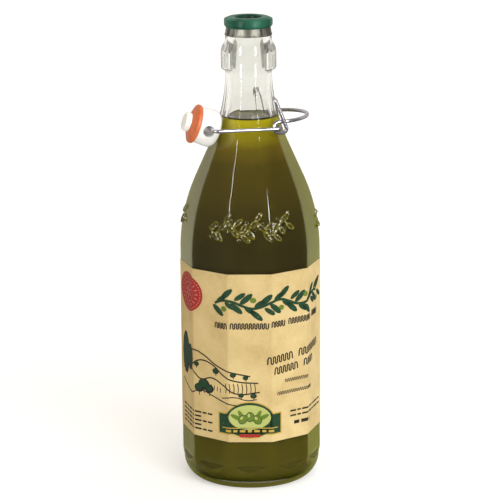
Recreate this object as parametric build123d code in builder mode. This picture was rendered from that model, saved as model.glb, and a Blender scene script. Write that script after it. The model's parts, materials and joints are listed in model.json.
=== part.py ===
from build123d import *
from math import asin, atan, cos, degrees, radians, sin, tan
import os

# A one litre swing-top olive oil bottle of clear glass, filled to the foot of the neck.
# Millimetres, +Z up, origin in the middle of the foot, one facet square to -Y.
# A green cap on a metal skirt shuts the mouth. The swing stopper hangs round the neck
# on its wire bail, and the bail's ends carry the wire lever on the other side.

# ---- glass ----
facet_count = 10
half_facet = 180 / facet_count
body_apothem = 42.8         # axis to the middle of a facet
edge_ease = 0.2             # how far the edge between two facets is worn back
body_top_z = 150
shoulder_sweep = 123        # radius of the shoulder's long curve, seen from the side
neck_sweep = 108.5
lean = 23.2                 # slope of the straight stretch between the two curves
neck_apothem = 14.3
neck_radius = 15
neck_top_z = 264
wall = 2.6

facet_foot_z = 16.2         # the facets end here, on a ledge that slopes down to the round heel
heel_top_z = 12.4
heel_radius = 44.05
heel_sweep = 14.2
foot_inner_radius = 32
punt_height = 4
punt_middle = (foot_inner_radius * 0.55, punt_height * 0.75)
floor_rise = 9              # height of the inside floor at the axis
floor_dip = 0.8             # how much lower it is halfway out
floor_edge_z = 6
floor_corner = 9

# ---- finish: the thick ring at the top of the neck ----
ring_radius = 16.6
ring_bottom_z = 267.5
ring_top_z = 282
ring_waist_radius = 14.5
ring_waist_z = 289
rim_radius = 13.7
rim_z = 293.5
mouth_radius = 13.2
mouth_z = 294.9
bore_radius = 9.8
bore_bottom_z = 284
lug_radius = 17.6
lug_arc = 98
lug_bottom_z = 266.9
lug_shoulder_z = 279.2
lug_top_z = 283.4
lug_ease = 0.8
lug_root_radius = 14
lug_top_lean = 0.6          # the lug's top edge ends this far inside the ring
over_mouth = 1              # cutting shapes reach this far past the mouth
dimple_turn = 44            # the two dimples lie across the axis, turned from the lugs' middles
dimple_z = 278
dimple_radius = 2.4
dimple_depth = 1.4

# ---- oil, paper and cap ----
oil_level_z = 237
label_bottom_z = 32.9
label_top_z = 143.2
paper = 0.2
skirt_bottom_z = 288.4
skirt_thickness = 0.2
cap_bottom_z = rim_z
cap_top_z = 300
cap_radius = 15.4
cap_dish_radius = 12
cap_dish_z = 296.4
cap_dish_lean = 1.2         # the dish is this much narrower at its floor
cap_foot_ease = 1.1
cap_foot_rise = 1.4
cap_rounds = (0.7, 1, 1.7, 1, 0.8)

# ---- swing closure, measured along its run, to its front side and up ----
closure_yaw = 15            # the run turns this far from +X towards +Y
wire_radius = 1.2
bail_z = 231.85
bail_slope = 0.7
bail_side = 24.7
cross_wire_along = -28.8
pivot_along = 14.45         # the bail's inturned ends, which carry the lever
bail_end_side = 17.6
bail_corner_radius = 3
hook_radius = 1.9

eye_half = 3.15             # half the size of the lever's eyes, on the wire's axis
eye_corner_radius = 2.6
leg_foot_along = 20
leg_top_along = 11.5
leg_top_z = 249.9
leg_side = 21.9
coil_side = 20.6
strand_side = 19.3
pin_end_side = 17.2
pin_corner_radius = 1.8
thumb_along = 18.5
thumb_slope = 3.6

stopper_tilt = 18.5
stopper_side = 5            # how far the stopper has slid along the cross wire
cross_hole_radius = 3.5
hole_lag = 1.4              # the hole's middle hangs this far back from the wire, and below it
hole_below_axis = 2.2
stopper_end = -9            # along the stopper's axis from its cross hole
stopper_end_radius = 12.2
stopper_end_round = 3
stopper_seat = 4.4
stopper_seat_radius = 11
stopper_tip = 14.4
stopper_tip_radius = 6.1
spigot_radius = 5.2
gasket_radius = 12.4
gasket_rim_thickness = 2.1
gasket_thickness = 4.8
gasket_bore_gap = 0.3
stopper_rounds = (stopper_end_round, 0.5, 0.3, 0.3, 0.3, 1.4)
gasket_rounds = (0.7, 0.7, 0.6)

os.makedirs("parts", exist_ok=True)


def save(part, name):
    part.label = name
    export_step(part, "parts/" + name + ".step")
    print(name, "volume", round(part.volume / 1000, 2), "ml")


def side_curve(body_x, shoulder_radius, neck_x, sweep_radius, angle):
    """Side of the bottle from the body's top to the neck's: curve in, straight, curve out."""
    neck_foot_x = neck_x + sweep_radius * (1 - cos(radians(angle)))
    neck_foot_z = neck_top_z - sweep_radius * sin(radians(angle))
    shoulder = JernArc((body_x, body_top_z), (0, 1), shoulder_radius, angle)
    Line(shoulder @ 1, (neck_foot_x, neck_foot_z))
    JernArc((neck_x, neck_top_z), (0, -1), sweep_radius, angle)


# ---- outline of a facet pair: the whole bottle seen square to two opposite facets ----
clear_of_lugs = lug_radius + 2
with BuildSketch() as facet_outline:
    with BuildLine():
        Polyline(
            (0, 0),
            (heel_radius, 0),
            (heel_radius, heel_top_z),
            (body_apothem, facet_foot_z),
            (body_apothem, body_top_z),
        )
        side_curve(body_apothem, shoulder_sweep, neck_apothem, neck_sweep, lean)
        Polyline(
            (neck_apothem, neck_top_z),
            (clear_of_lugs, neck_top_z + 2),
            (clear_of_lugs, mouth_z + over_mouth),
            (0, mouth_z + over_mouth),
            (0, 0),
        )
    make_face()
    mirror(about=Plane.YZ)

# ---- round outline, which eases the edges and gives the heel, the foot and the finish ----
edge_scale = 1 / cos(radians(half_facet))
edge_lean = degrees(atan(tan(radians(lean)) * edge_scale))
edge_sweep_scale = sin(radians(lean)) / sin(radians(edge_lean))
edge_radius = body_apothem * edge_scale - edge_ease
edge_neck_radius = neck_apothem * edge_scale - edge_ease
heel_turn = degrees(asin(heel_top_z / heel_sweep))
with BuildSketch() as round_half:
    with BuildLine():
        Line((0, mouth_z), (0, punt_height))
        ThreePointArc((0, punt_height), punt_middle, (foot_inner_radius, 0))
        heel = JernArc((heel_radius, heel_top_z), (0, -1), heel_sweep, -heel_turn)
        Line((foot_inner_radius, 0), heel @ 1)
        Polyline((heel_radius, heel_top_z), (edge_radius, facet_foot_z), (edge_radius, body_top_z))
        side_curve(
            edge_radius,
            shoulder_sweep * edge_sweep_scale,
            edge_neck_radius,
            neck_sweep * edge_sweep_scale,
            edge_lean,
        )
        Polyline(
            (edge_neck_radius, neck_top_z),
            (neck_radius, neck_top_z + 1),
            (ring_radius, ring_bottom_z),
            (ring_radius, ring_top_z),
        )
        ThreePointArc((ring_radius, ring_top_z), (ring_waist_radius, ring_waist_z), (rim_radius, rim_z))
        Polyline((rim_radius, rim_z), (mouth_radius, rim_z), (mouth_radius, mouth_z), (0, mouth_z))
    make_face()


# ---- the hollow, which is round all the way down ----
with BuildSketch() as hollow_outline:
    with BuildLine():
        inside_x = body_apothem - wall
        floor_edge_x = inside_x - floor_corner
        corner_top_z = floor_edge_z + floor_corner
        Line((0, mouth_z + over_mouth), (0, floor_rise))
        ThreePointArc((0, floor_rise), (inside_x / 2, floor_rise - floor_dip), (floor_edge_x, floor_edge_z))
        RadiusArc((floor_edge_x, floor_edge_z), (inside_x, corner_top_z), -floor_corner)
        Line((inside_x, corner_top_z), (inside_x, body_top_z))
        side_curve(inside_x, shoulder_sweep - wall, neck_apothem - wall, neck_sweep + wall, lean)
        Polyline(
            (neck_apothem - wall, neck_top_z),
            (bore_radius, bore_bottom_z),
            (bore_radius, mouth_z + over_mouth),
            (0, mouth_z + over_mouth),
        )
    make_face()

# ---- bottle ----
with BuildPart() as bottle:
    for pair in range(facet_count // 2):
        with BuildSketch(Plane.XZ.rotated((0, 0, (2 * pair + 1) * half_facet))):
            add(facet_outline.sketch)
        extrude(amount=body_apothem * 1.5, both=True, mode=Mode.ADD if pair == 0 else Mode.INTERSECT)
    with BuildSketch(Plane.XZ):
        add(round_half.sketch)
    revolve(axis=Axis.Z, mode=Mode.INTERSECT)
    for lug_turn in (-lug_arc / 2, 180 - lug_arc / 2):
        with BuildSketch(Plane.XZ.rotated((0, 0, lug_turn))):
            with BuildLine():
                Polyline(
                    (lug_root_radius, lug_bottom_z),
                    (lug_radius - lug_ease, lug_bottom_z),
                    (lug_radius, lug_bottom_z + lug_ease * 1.5),
                    (lug_radius, lug_shoulder_z),
                    (ring_radius - lug_top_lean, lug_top_z),
                    (lug_root_radius, lug_top_z - 1),
                    close=True,
                )
            make_face()
        revolve(axis=Axis.Z, revolution_arc=lug_arc)
    for turn in (180 + dimple_turn, dimple_turn):
        outward = Vector(cos(radians(turn)), sin(radians(turn)), 0)
        dimple_mouth = Plane(outward * lug_radius + Vector(0, 0, dimple_z), z_dir=outward)
        with Locations(dimple_mouth.offset(-dimple_depth / 2)):
            Cone(dimple_radius * 0.4, dimple_radius, dimple_depth, mode=Mode.SUBTRACT)
    with BuildSketch(Plane.XZ):
        add(hollow_outline.sketch)
    revolve(axis=Axis.Z, mode=Mode.SUBTRACT)
save(bottle.part, "bottle")

# ---- oil, up to its level ----
with BuildPart() as oil:
    with BuildSketch(Plane.XZ):
        add(hollow_outline.sketch)
        Rectangle(2 * body_apothem, oil_level_z, align=(Align.CENTER, Align.MIN), mode=Mode.INTERSECT)
    revolve(axis=Axis.Z)
save(oil.part, "oil")

# ---- paper label, wrapped all round the facets ----
def body_section(clearance):
    """Section of the body at the label, moved outwards by the clearance."""
    with BuildSketch() as section:
        RegularPolygon(body_apothem + clearance, facet_count, major_radius=False)
        Circle(edge_radius + clearance, mode=Mode.INTERSECT)
    return section.sketch


glass_section = body_section(0)
paper_section = body_section(paper)
with BuildPart() as label:
    with BuildSketch(Plane.XY.offset(label_bottom_z)):
        add(paper_section)
        add(glass_section, mode=Mode.SUBTRACT)
    extrude(amount=label_top_z - label_bottom_z)
save(label.part, "label")

# ---- metal skirt under the cap, flat against the cone of the finish ----
with BuildPart() as cap_skirt:
    with BuildSketch(Plane.XZ):
        with BuildLine():
            ThreePointArc(
                (ring_radius + skirt_thickness, ring_top_z),
                (ring_waist_radius + skirt_thickness, ring_waist_z),
                (rim_radius + skirt_thickness, rim_z),
            )
            Polyline(
                (rim_radius + skirt_thickness, rim_z),
                (bore_radius, rim_z),
                (bore_radius, ring_top_z),
                (ring_radius + skirt_thickness, ring_top_z),
            )
        make_face()
        Rectangle(4 * ring_radius, skirt_bottom_z, align=(Align.CENTER, Align.MIN), mode=Mode.SUBTRACT)
    revolve(axis=Axis.Z)
    add(bottle.part, mode=Mode.SUBTRACT)
save(cap_skirt.part, "cap_skirt")

# ---- cap: a round-edged disc with a dished top, let over the rim of the mouth ----
with BuildPart() as cap:
    with BuildSketch(Plane.XZ):
        with BuildLine():
            cap_side = FilletPolyline(
                (mouth_radius, cap_bottom_z),
                (cap_radius - cap_foot_ease, cap_bottom_z),
                (cap_radius, cap_bottom_z + cap_foot_rise),
                (cap_radius, cap_top_z),
                (cap_dish_radius, cap_top_z),
                (cap_dish_radius - cap_dish_lean, cap_dish_z),
                (0, cap_dish_z),
                radius=cap_rounds,
            )
            Polyline(cap_side @ 1, (0, mouth_z), (mouth_radius, mouth_z), (mouth_radius, cap_bottom_z))
        make_face()
    revolve(axis=Axis.Z)
save(cap.part, "cap")

# ---- swing closure ----
run = Vector(cos(radians(closure_yaw)), sin(radians(closure_yaw)), 0)
front = Vector(sin(radians(closure_yaw)), -cos(radians(closure_yaw)), 0)
up = Vector(0, 0, 1)


def closure_point(along, side, height):
    """A point of the closure: along its run, out to its front side, and up from the foot."""
    return run * along + front * side + up * height


def bail_height(along):
    return bail_z - along * tan(radians(bail_slope))


# ---- bail: a wire loop round the neck, its ends turned in through the lever's eyes ----
bail_half = [
    closure_point(pivot_along, bail_end_side, bail_height(pivot_along)),
    closure_point(pivot_along, bail_side, bail_height(pivot_along)),
    closure_point(cross_wire_along, bail_side, bail_height(cross_wire_along)),
]
bail_other_half = [point - front * 2 * point.dot(front) for point in reversed(bail_half)]
with BuildPart() as bail:
    with BuildLine() as bail_line:
        FilletPolyline(
            *bail_half,
            *bail_other_half,
            radius=(hook_radius, bail_corner_radius, bail_corner_radius, hook_radius),
        )
    with BuildSketch(Plane(bail_line.wire() @ 0, z_dir=bail_line.wire() % 0)):
        Circle(wire_radius)
    sweep()
save(bail.part, "bail")

# ---- lever: turned-in pin, leg and eye on each side, joined by the round thumb loop ----
pivot_z = bail_height(pivot_along)
eye_left = pivot_along - eye_half
strand_rise = (thumb_along - eye_left) * tan(radians(thumb_slope))
lever_half = [
    closure_point(leg_top_along, pin_end_side, leg_top_z),
    closure_point(leg_top_along, leg_side, leg_top_z),
    closure_point(leg_foot_along, leg_side, pivot_z - eye_half),
    closure_point(eye_left, coil_side, pivot_z - eye_half),
    closure_point(eye_left, strand_side, pivot_z + eye_half),
    closure_point(thumb_along, strand_side, pivot_z + eye_half + strand_rise),
]
lever_other_half = [point - front * 2 * point.dot(front) for point in reversed(lever_half)]
lever_radii = (pin_corner_radius, eye_corner_radius, eye_corner_radius, eye_corner_radius)
thumb_reach = strand_side * cos(radians(thumb_slope))
thumb_end = closure_point(
    thumb_along + thumb_reach,
    0,
    pivot_z + eye_half + strand_rise + strand_side * sin(radians(thumb_slope)),
)
with BuildPart() as lever:
    with BuildLine() as lever_line:
        FilletPolyline(*lever_half, radius=lever_radii)
        ThreePointArc(lever_half[-1], thumb_end, lever_other_half[0])
        FilletPolyline(*lever_other_half, radius=tuple(reversed(lever_radii)))
    with BuildSketch(Plane(lever_line.wire() @ 0, z_dir=lever_line.wire() % 0)):
        Circle(wire_radius)
    sweep()
save(lever.part, "lever")

# ---- stopper, hanging on the cross wire in its wide cross hole ----
tip_way = run * -cos(radians(stopper_tilt)) + up * sin(radians(stopper_tilt))
top_way = run * sin(radians(stopper_tilt)) + up * cos(radians(stopper_tilt))
hole_middle = closure_point(
    cross_wire_along - hole_lag,
    stopper_side,
    bail_height(cross_wire_along) - hole_lag,
)
hole_plane = Plane(hole_middle, x_dir=tip_way, z_dir=front)
stopper_middle = hole_middle + top_way * hole_below_axis
stopper_plane = Plane(stopper_middle, x_dir=tip_way, z_dir=front)
stopper_axis = Axis(stopper_middle, tip_way)
gasket_front = stopper_seat + gasket_thickness
with BuildPart() as stopper:
    with BuildSketch(stopper_plane):
        with BuildLine():
            stopper_side_line = FilletPolyline(
                (stopper_end, 0),
                (stopper_end, stopper_end_radius),
                (stopper_seat, stopper_seat_radius),
                (stopper_seat, spigot_radius),
                (gasket_front, spigot_radius),
                (gasket_front, stopper_tip_radius),
                (stopper_tip, stopper_tip_radius),
                (stopper_tip, 0),
                radius=stopper_rounds,
            )
            Line(stopper_side_line @ 1, stopper_side_line @ 0)
        make_face()
    revolve(axis=stopper_axis)
    with BuildSketch(hole_plane):
        Circle(cross_hole_radius)
    extrude(amount=2 * stopper_end_radius, both=True, mode=Mode.SUBTRACT)
save(stopper.part, "stopper")

# ---- rubber gasket on the stopper's spigot ----
with BuildPart() as gasket:
    with BuildSketch(stopper_plane):
        with BuildLine():
            gasket_line = FilletPolyline(
                (stopper_seat, spigot_radius + gasket_bore_gap),
                (stopper_seat, gasket_radius),
                (stopper_seat + gasket_rim_thickness, gasket_radius),
                (gasket_front, stopper_tip_radius + 0.8),
                (gasket_front, spigot_radius + gasket_bore_gap),
                radius=gasket_rounds,
            )
            Line(gasket_line @ 1, gasket_line @ 0)
        make_face()
    revolve(axis=stopper_axis)
    add(stopper.part, mode=Mode.SUBTRACT)
save(gasket.part, "gasket")
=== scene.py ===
import bpy
import bmesh
import json
from math import asin, atan, atan2, cos, degrees, pi, radians, sin, tan
from mathutils import Matrix, Vector


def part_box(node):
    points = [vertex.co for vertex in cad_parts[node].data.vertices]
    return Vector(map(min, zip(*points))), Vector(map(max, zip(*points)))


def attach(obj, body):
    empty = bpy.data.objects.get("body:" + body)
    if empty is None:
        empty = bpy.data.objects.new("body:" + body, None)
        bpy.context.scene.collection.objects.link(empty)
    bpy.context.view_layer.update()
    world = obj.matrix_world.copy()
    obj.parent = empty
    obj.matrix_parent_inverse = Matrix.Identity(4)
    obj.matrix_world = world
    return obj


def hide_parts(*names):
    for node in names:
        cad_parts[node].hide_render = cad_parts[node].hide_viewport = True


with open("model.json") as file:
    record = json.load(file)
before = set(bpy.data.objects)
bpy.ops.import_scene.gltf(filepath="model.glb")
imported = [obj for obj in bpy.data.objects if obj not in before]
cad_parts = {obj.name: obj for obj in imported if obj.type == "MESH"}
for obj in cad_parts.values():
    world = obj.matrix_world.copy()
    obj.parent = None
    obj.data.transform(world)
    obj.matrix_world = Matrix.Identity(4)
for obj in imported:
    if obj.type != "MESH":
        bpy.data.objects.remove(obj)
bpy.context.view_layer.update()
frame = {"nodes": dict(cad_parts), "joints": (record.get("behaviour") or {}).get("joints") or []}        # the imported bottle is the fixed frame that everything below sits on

mm = 0.001               # lengths below are in millimetres, and go into Blender as metres

bottleLow, bottleHigh = [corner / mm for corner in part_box("bottle")]
oilLow, oilHigh = [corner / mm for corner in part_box("oil")]
labelLow, labelHigh = [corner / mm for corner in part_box("label")]
skirtLow, skirtHigh = [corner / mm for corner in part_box("cap_skirt")]
capLow, capHigh = [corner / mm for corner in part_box("cap")]


# working with pieces
def deselectAll():
    bpy.ops.object.select_all(action="DESELECT")


def activate(piece):
    deselectAll()
    bpy.context.view_layer.objects.active = piece
    piece.select_set(True)


def openPiece(piece):                       # edit mode, nothing picked
    activate(piece)
    bpy.ops.object.mode_set(mode="EDIT")
    bpy.ops.mesh.select_all(action="DESELECT")


def closePiece():
    bpy.ops.object.mode_set(mode="OBJECT")


def pick(piece, kind, test):                # kind is verts, edges or faces
    mesh = bmesh.from_edit_mesh(piece.data)
    for element in getattr(mesh, kind):
        if test(element):
            element.select_set(True)
    mesh.select_flush(True)
    bmesh.update_edit_mesh(piece.data)


def nameLast(name):                         # the primitive just added, its place put in its mesh
    piece = bpy.context.object
    piece.name = piece.data.name = name
    bpy.ops.object.transform_apply()
    return piece


def applyModifier(piece, kind, **settings):
    activate(piece)
    bpy.ops.object.modifier_add(type=kind)
    modifier = piece.modifiers[-1]
    for setting, value in settings.items():
        setattr(modifier, setting, value)
    bpy.ops.object.modifier_apply(modifier=modifier.name)


def shadeSmooth(piece, angle=30):
    activate(piece)
    bpy.ops.object.shade_smooth_by_angle(angle=radians(angle))


def cleanMesh(piece, angle=30):             # doubles merged, faces outwards, shaded smooth up to an angle
    openPiece(piece)
    bpy.ops.mesh.select_all(action="SELECT")
    bpy.ops.mesh.remove_doubles(threshold=0.002 * mm)
    bpy.ops.mesh.normals_make_consistent(inside=False)
    closePiece()
    shadeSmooth(piece, angle)


def joinPieces(pieces, name):
    activate(pieces[0])
    for piece in pieces:
        piece.select_set(True)
    bpy.ops.object.join()
    joined = bpy.context.object
    joined.name = joined.data.name = name
    return joined


def finishPiece(piece, body, slotName, *nodes):
    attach(piece, body)
    if nodes:
        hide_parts(*nodes)


# rings: the picked loop of edges is extruded and scaled about the Z axis
def pickedRing(piece):                      # mean radius and height of what is picked, in millimetres
    mesh = bmesh.from_edit_mesh(piece.data)
    picked = [vertex.co for vertex in mesh.verts if vertex.select]
    radius = sum(point.xy.length for point in picked) / len(picked)
    height = sum(point.z for point in picked) / len(picked)
    return radius / mm, height / mm


def growRing(piece, radius, height):
    oldRadius, oldHeight = pickedRing(piece)
    bpy.ops.mesh.extrude_edges_move(TRANSFORM_OT_translate={"value": (0, 0, (height - oldHeight) * mm)})
    scale = radius / oldRadius
    bpy.ops.transform.resize(value=(scale, scale, 1), center_override=(0, 0, height * mm))


def roundedOutline(corners, steps=5):
    # corners are (radius, height, rounding); each corner becomes an arc of that rounding
    points = []
    for index, (x, z, rounding) in enumerate(corners):
        here = Vector((x, z))
        if rounding == 0 or index in (0, len(corners) - 1):
            points.append(here)
            continue
        back = (Vector(corners[index - 1][:2]) - here).normalized()
        ahead = (Vector(corners[index + 1][:2]) - here).normalized()
        half = back.angle(ahead) / 2
        centre = here + (back + ahead).normalized() * (rounding / sin(half))
        first = here + back * (rounding / tan(half)) - centre
        last = here + ahead * (rounding / tan(half)) - centre
        turn = first.angle_signed(last)
        for step in range(steps + 1):
            spin = Matrix.Rotation(-turn * step / steps, 2)
            points.append(centre + spin @ first)
    return points


def turnPiece(name, outline, columns=96, ring=False):
    # a solid turned about the Z axis, from the bottom of its outline to the top, both ends closed;
    # a ring's outline comes back to where it started
    (radius, height), *rest = outline
    bpy.ops.mesh.primitive_circle_add(vertices=columns, radius=radius * mm, location=(0, 0, height * mm),
                                      fill_type="NOTHING" if ring else "NGON")
    piece = nameLast(name)
    openPiece(piece)
    bpy.ops.mesh.select_all(action="SELECT")
    bpy.ops.mesh.select_mode(type="EDGE")
    for radius, height in rest:
        growRing(piece, radius, height)
    if not ring:
        bpy.ops.mesh.edge_face_add()
    bpy.ops.mesh.select_mode(type="VERT")
    closePiece()
    return piece


# materials: each is a Principled shader with its own nodes around it
def startMaterial(name, **sockets):
    material = bpy.data.materials.new(name)
    material.use_nodes = True
    shader = material.node_tree.nodes["Principled BSDF"]
    for socket, value in sockets.items():
        shader.inputs[socket].default_value = value
    return material, shader


def addNode(material, kind, inputs=None, **settings):
    # inputs are numbers, colours, or outputs of other nodes
    tree = material.node_tree
    node = tree.nodes.new("ShaderNode" + kind)
    for setting, value in settings.items():
        setattr(node, setting, value)
    for socket, value in (inputs or {}).items():
        if isinstance(value, bpy.types.NodeSocket):
            tree.links.new(value, node.inputs[socket])
        else:
            node.inputs[socket].default_value = value
    return node


def join(material, output, socket):
    material.node_tree.links.new(output, socket)


def objectPlace(material, scale=(1, 1, 1)):
    place = addNode(material, "TexCoord").outputs["Object"]
    return addNode(material, "Mapping", {"Vector": place, "Scale": scale}).outputs["Vector"]


def noiseValue(material, vector, scale, detail=3.0, roughness=0.55):
    noise = addNode(material, "TexNoise", {
        "Vector": vector, "Scale": scale, "Detail": detail, "Roughness": roughness})
    return noise.outputs["Fac"]


def rampColour(material, value, stops):
    # stops are (place from 0 to 1, colour)
    node = addNode(material, "ValToRGB", {"Fac": value})
    ramp = node.color_ramp
    while len(ramp.elements) < len(stops):
        ramp.elements.new(1)
    for element, (place, colour) in zip(ramp.elements, stops):
        element.position = place
        element.color = (*colour, 1)
    return node.outputs["Color"]


def mapValue(material, value, fromLow, fromHigh, toLow, toHigh, **settings):
    node = addNode(material, "MapRange", {"Value": value, "From Min": fromLow, "From Max": fromHigh,
                                          "To Min": toLow, "To Max": toHigh}, **settings)
    return node.outputs["Result"]


def mathValue(material, operation, first, second):
    return addNode(material, "Math", {0: first, 1: second}, operation=operation).outputs[0]


def product(material, first, second):
    return mathValue(material, "MULTIPLY", first, second)


def mixValue(material, factor, first, second):
    return addNode(material, "Mix", {0: factor, 2: first, 3: second}).outputs[0]


def mixColour(material, factor, first, second):
    # each colour is three numbers, or the output of another node
    first, second = [side if isinstance(side, bpy.types.NodeSocket) else (*side, 1) for side in (first, second)]
    return addNode(material, "Mix", {0: factor, 6: first, 7: second}, data_type="RGBA").outputs[2]


def axisOf(material, vector, axis):
    return addNode(material, "SeparateXYZ", {"Vector": vector}).outputs[axis]


def slantValue(material, low, high, share=1):
    # from 0 where a surface is seen square on, up to the share where it is seen at a slant
    facing = addNode(material, "LayerWeight", {"Blend": 0.5}).outputs["Facing"]
    return mapValue(material, facing, low, high, 0, share)


def addBump(material, shader, height, distance):
    bump = addNode(material, "Bump", {"Height": height, "Distance": distance, "Strength": 1})
    join(material, bump.outputs["Normal"], shader.inputs["Normal"])


def wear(piece, *materials):
    piece.data.materials.clear()
    for material in materials:
        piece.data.materials.append(material)


# the studio: a pale floor, a pale room with a darker side behind the camera, and soft lamps
studio = {
    "cameraPlace": (-0.04, -1500, 516.75),
    "cameraTurn": 0.7,                      # about the Z axis
    "cameraPitch": 13.79,
    "cameraRoll": -0.45,
    "lens": 172.706,
    "floorSize": 60000,
    "floorColour": (0.6, 0.6, 0.595),
    "floorDark": (0.591, 0.591, 0.586),
    "floorGlow": 0.47,                      # lifts the shadows on the floor
    "backdrop": 1.0,
    # the mirrored room runs from dark behind the camera to bright behind the bottle, along Y,
    # and each fall dims it along an axis: axis, from, to, share there, share here
    "roomDark": 0.18,
    "roomBright": 0.77,
    "roomReach": (-0.25, 0.35),
    "roomFalls": [("X", -0.6, 0.6, 1, 0.7), ("Z", -0.31, -0.24, 0.42, 1), ("Z", -0.7, -0.4, 0.15, 1)],
    "mirroredColour": (1, 0.965, 0.915),
    # the light on matt surfaces, from left to right along X
    "lightLeft": 0.2,
    "lightRight": 0.8,
    "lightReach": (-1, 0.4),
    "leftColour": (1, 0.76, 0.32),
    "rightColour": (1, 0.98, 0.94),
    "colourReach": (-0.6, 0.3),
    # name: azimuth, elevation, distance, width, height, power, height aimed at
    "strips": {
        "leftStrip": (-37, 25, 1500, 220, 740, 12, 150),
        "rightStrip": (34, 21, 1500, 220, 560, 9, 150),
        "leftFinishStrip": (-37, 0, 300, 60, 26, 0.06, 203),
        "rightFinishStrip": (34, 0, 300, 60, 26, 0.06, 203),
        "leftNeckStrip": (-37, 0, 300, 60, 62, 0.15, 263),
        "rightNeckStrip": (34, 0, 300, 60, 62, 0.15, 263),
    },
    # name: azimuth, elevation, softness, power
    "suns": {
        "keySun": (30, 32, 40, 1.7),
        "topSun": (20, 78, 70, 0.8),
    },
}


def makeCamera():
    spec = studio
    camera = bpy.data.objects.new("camera", bpy.data.cameras.new("camera"))
    bpy.context.scene.collection.objects.link(camera)
    camera.data.lens = spec["lens"]
    camera.data.sensor_width = 36
    camera.data.clip_end = 100
    turn = Matrix.Rotation(radians(spec["cameraTurn"]), 3, "Z")
    camera.location = turn @ Vector(spec["cameraPlace"]) * mm
    tip = Matrix.Rotation(radians(90 - spec["cameraPitch"]), 3, "X")
    roll = Matrix.Rotation(radians(spec["cameraRoll"]), 3, "Z")
    camera.rotation_euler = (turn @ tip @ roll).to_euler()
    bpy.context.scene.camera = camera


def makeFloor():
    spec = studio
    bpy.ops.mesh.primitive_plane_add(size=spec["floorSize"] * mm, location=(0, 0, 0))
    floor = nameLast("studioFloor")
    material, shader = startMaterial("paleFloor", Roughness=0.9)
    shader.inputs["Specular IOR Level"].default_value = 0
    grain = noiseValue(material, objectPlace(material), 90)
    tone = rampColour(material, grain, [(0.3, spec["floorDark"]), (0.7, spec["floorColour"])])
    join(material, tone, shader.inputs["Base Color"])
    wear(floor, material)
    shader.inputs["Emission Color"].default_value = (1, 1, 1, 1)
    shader.inputs["Emission Strength"].default_value = spec["floorGlow"]
    floor.visible_glossy = False


def makeRoom():
    # what mirrors in the bottle is a room bright behind it and beside it, and dark behind the camera;
    # matt surfaces get a light that is warmer and weaker from the left; the camera sees a plain backdrop
    spec = studio
    world = bpy.data.worlds.new("studioRoom")
    world.use_nodes = True
    bpy.context.scene.world = world
    direction = addNode(world, "TexCoord").outputs["Generated"]
    axes = {axis: axisOf(world, direction, axis) for axis in "XYZ"}
    mirrored = mapValue(world, axes["Y"], *spec["roomReach"], spec["roomDark"], spec["roomBright"],
                        interpolation_type="SMOOTHSTEP")
    for axis, low, high, lowShare, highShare in spec["roomFalls"]:
        fall = mapValue(world, axes[axis], low, high, lowShare, highShare)
        mirrored = product(world, mirrored, fall)
    matt = mapValue(world, axes["X"], *spec["lightReach"], spec["lightLeft"], spec["lightRight"])
    rightward = mapValue(world, axes["X"], *spec["colourReach"], 0, 1)
    mattColour = mixColour(world, rightward, spec["leftColour"], spec["rightColour"])
    path = addNode(world, "LightPath").outputs
    isGlossy, isCamera = path["Is Glossy Ray"], path["Is Camera Ray"]
    strength = mixValue(world, isCamera, mixValue(world, isGlossy, matt, mirrored), spec["backdrop"])
    colour = mixColour(world, isGlossy, mattColour, spec["mirroredColour"])
    background = world.node_tree.nodes["Background"]
    join(world, mixColour(world, isCamera, colour, (1, 1, 1)), background.inputs["Color"])
    join(world, strength, background.inputs["Strength"])


def makeLamp(name, kind, azimuth, elevation, power):
    # azimuth is seen from above, from the camera's side, to the right; returns the lamp and the way to it
    turn, rise = radians(azimuth), radians(elevation)
    way = Vector((sin(turn) * cos(rise), -cos(turn) * cos(rise), sin(rise)))
    light = bpy.data.lights.new(name, kind)
    light.energy = power
    lamp = bpy.data.objects.new(name, light)
    bpy.context.scene.collection.objects.link(lamp)
    lamp.rotation_euler = way.to_track_quat("Z", "Y").to_euler()
    return lamp, way


def makeStrip(name, azimuth, elevation, distance, width, height, power, aim):
    # a soft lamp that shows in reflections only
    lamp, way = makeLamp(name, "AREA", azimuth, elevation, power)
    lamp.data.shape = "RECTANGLE"
    lamp.data.size, lamp.data.size_y = width * mm, height * mm
    lamp.location = (Vector((0, 0, aim)) + way * distance) * mm
    lamp.visible_camera = False
    lamp.visible_diffuse = False
    lamp.visible_transmission = False


def makeSun(name, azimuth, elevation, softness, power):
    lamp = makeLamp(name, "SUN", azimuth, elevation, power)[0]
    lamp.data.angle = radians(softness)
    lamp.visible_glossy = False


bpy.context.scene.view_settings.view_transform = "Standard"
makeCamera()
makeFloor()
makeRoom()
for name, places in studio["strips"].items():
    makeStrip(name, *places)
for name, places in studio["suns"].items():
    makeSun(name, *places)
print("studio ready")


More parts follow.
